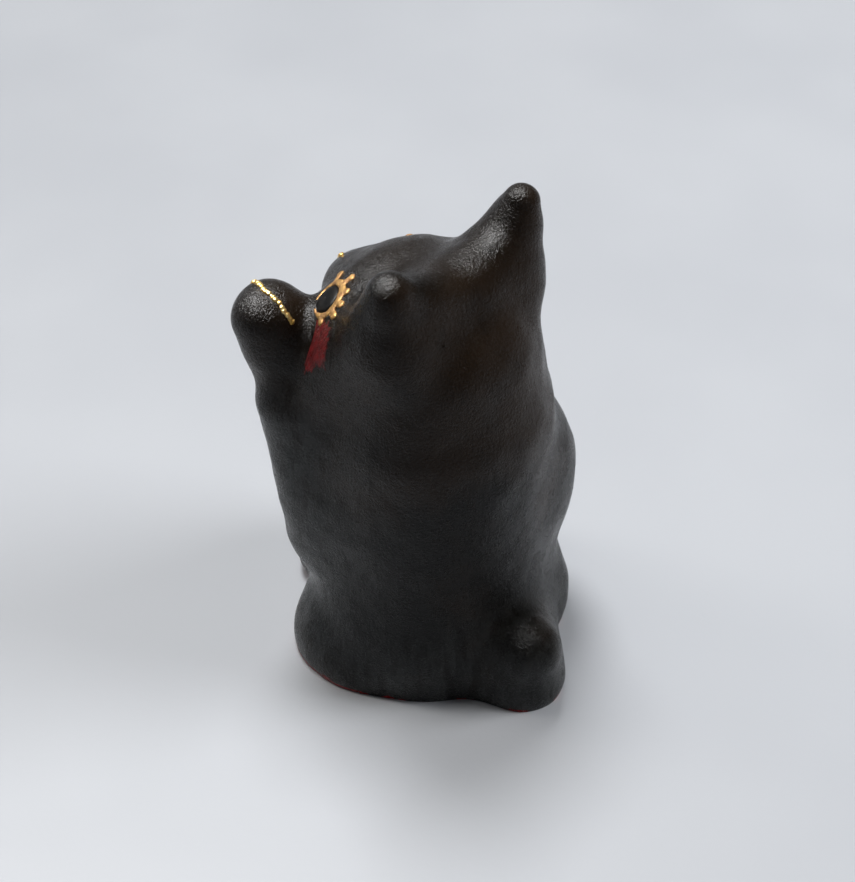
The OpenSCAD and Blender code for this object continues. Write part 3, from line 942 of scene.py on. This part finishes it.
def cheek_red():
    n = Nodes("brushed_cheek_red")
    colour, rough, relief = clay_layers(n)
    reach = n.tree.nodes.new("ShaderNodeAttribute")
    reach.attribute_name = "paint_reach"
    ragged = n.noise(0.0009, 4, 0.65, stretch=(1, 1, 0.5))
    edge = n.math("ADD", reach.outputs["Fac"], n.ramp(ragged, 0.25, 0.75, -0.22, 0.26))
    cover = n.ramp(edge, 0.86, 1.06, 1.0, 0.0)
    thin = n.ramp(n.noise(0.0006, 3, 0.6), 0.3, 0.62, 0.62, 1.0)
    colour = n.mix(n.math("MULTIPLY", cover, thin), colour, brushed_red(n))
    n.set(
        Base_Color=colour,
        Roughness=n.math("ADD", rough, n.math("MULTIPLY", cover, 0.08)),
        Normal=relief,
        IOR=1.45,
        Specular_IOR_Level=0.2,
    )
    return n.material


def slab_red():
    n = Nodes("red_underside_paint")
    colour = brushed_red(n)
    worn = n.ramp(n.noise(0.004, 4, 0.6), 0.62, 0.74)
    n.set(
        Base_Color=n.mix(n.math("MULTIPLY", worn, 0.6), colour, (0.11, 0.05, 0.035)),
        Roughness=n.ramp(n.noise(0.0015, 3), 0.3, 0.7, 0.42, 0.6),
        Normal=n.bump(n.noise(0.0005, 3), 0.5, 0.0001, n.bump(n.noise(0.003, 3), 0.5, 0.0004)),
        IOR=1.48,
    )
    return n.material


def paper():
    """The pale sheet that the cat stands on, with the least cloudiness and tooth."""
    n = Nodes("pale_sheet")
    cloud = n.noise(0.06, 3)
    tint = n.mix(n.ramp(cloud, 0.3, 0.7), (0.535, 0.555, 0.592), (0.558, 0.578, 0.613))
    n.set(
        Base_Color=tint,
        Roughness=n.ramp(cloud, 0.3, 0.7, 0.55, 0.65),
        Normal=n.bump(n.noise(0.0008, 4), 0.15, 0.0001),
    )
    return n.material


# ---------------------------------------------------------------- stage, light and camera


FLOOR_REACH = 4.0                        # half the width of the floor
LIGHTS_AIM = Vector((0, 0, 0.03))        # where the lamps point
BACKDROP_WAY = (-0.45, -0.79, -0.42)     # where the bright side of the room is
ROOM_DIM = (0.05, 0.05, 0.052, 1)
ROOM_BRIGHT = (0.46, 0.48, 0.50, 1)
CAMERA_AT = Vector((0.1033, 0.1033, 0.1750))
CAMERA_AIM = Vector((0, 0, 0.034))
SENSOR_W = 36.0
LENS = 61.2


def build_floor():
    mesh = bpy.data.meshes.new("pale_floor")
    corners = [(x * FLOOR_REACH, y * FLOOR_REACH, 0) for x, y in ((-1, -1), (1, -1), (1, 1), (-1, 1))]
    mesh.from_pydata(corners, [], [(0, 1, 2, 3)])
    floor = bpy.data.objects.new("pale_floor", mesh)
    bpy.context.scene.collection.objects.link(floor)
    mesh.materials.append(paper())


def soft_light(name, at, size, watts, gloss=True, diffuse=True):
    data = bpy.data.lights.new(name, "AREA")
    data.shape, data.size, data.energy = "DISK", size, watts
    light = bpy.data.objects.new(name, data)
    light.location = at
    light.rotation_euler = (LIGHTS_AIM - Vector(at)).to_track_quat("-Z", "Y").to_euler()
    light.visible_glossy, light.visible_diffuse = gloss, diffuse
    bpy.context.scene.collection.objects.link(light)


def strip_light(name, at, size, turn, watts):
    """A long lamp that faces down and only shows in the gloss."""
    soft_light(name, at, size[0], watts, diffuse=False)
    light = bpy.data.objects[name]
    light.data.shape, light.data.size_y = "RECTANGLE", size[1]
    light.rotation_euler = (0, 0, turn)


def build_world():
    """A bright backdrop low on the far side, and a dim room above and behind the camera."""
    world = bpy.data.worlds.new("studio")
    bpy.context.scene.world = world
    world.use_nodes = True
    tree = world.node_tree
    where = tree.nodes.new("ShaderNodeTexCoord")
    facing = tree.nodes.new("ShaderNodeVectorMath")
    facing.operation = "DOT_PRODUCT"
    tree.links.new(where.outputs["Generated"], facing.inputs[0])
    facing.inputs[1].default_value = BACKDROP_WAY
    ramp = tree.nodes.new("ShaderNodeValToRGB")
    ramp.color_ramp.interpolation = "EASE"
    tree.links.new(facing.outputs["Value"], ramp.inputs[0])
    ramp.color_ramp.elements[0].position = 0.0
    ramp.color_ramp.elements[0].color = ROOM_DIM
    ramp.color_ramp.elements[1].position = 0.75
    ramp.color_ramp.elements[1].color = ROOM_BRIGHT
    back = tree.nodes["Background"]
    tree.links.new(ramp.outputs[0], back.inputs["Color"])
    back.inputs["Strength"].default_value = 1.0


def build_camera():
    data = bpy.data.cameras.new("camera")
    data.sensor_width, data.lens = SENSOR_W, LENS
    camera = bpy.data.objects.new("camera", data)
    camera.location = CAMERA_AT
    camera.rotation_euler = (CAMERA_AIM - CAMERA_AT).to_track_quat("-Z", "Y").to_euler()
    bpy.context.scene.collection.objects.link(camera)
    bpy.context.scene.camera = camera


build_camera()
clay = lacquered_clay()
black = glossy_black()
ring_gold = gold_paint("ochre_gold_paint", 0.35, (0.27, 0.13, 0.035), (0.56, 0.32, 0.09))
line_gold = gold_paint("bright_gold_paint", 0.85, (0.50, 0.30, 0.07), (0.95, 0.70, 0.30))
red = cheek_red()
build_clay(clay, black)
build_slab(slab_red())
for side, flip in (("left", False), ("right", True)):
    build_eye(side, flip, ring_gold, black)
    build_cheek(side, flip, red)
build_lines(line_gold)
build_floor()
build_world()
soft_light("behind", (-0.11, -0.22, 0.64), 0.20, 2.8)
strip_light("ceiling_strip", (0.19, -0.32, 0.60), (0.66, 0.09), math.radians(-60), 22)
soft_light("far_side", (-0.38, 0.36, 0.42), 0.30, 2.8, gloss=False)
bpy.context.scene.view_settings.view_transform = "Standard"
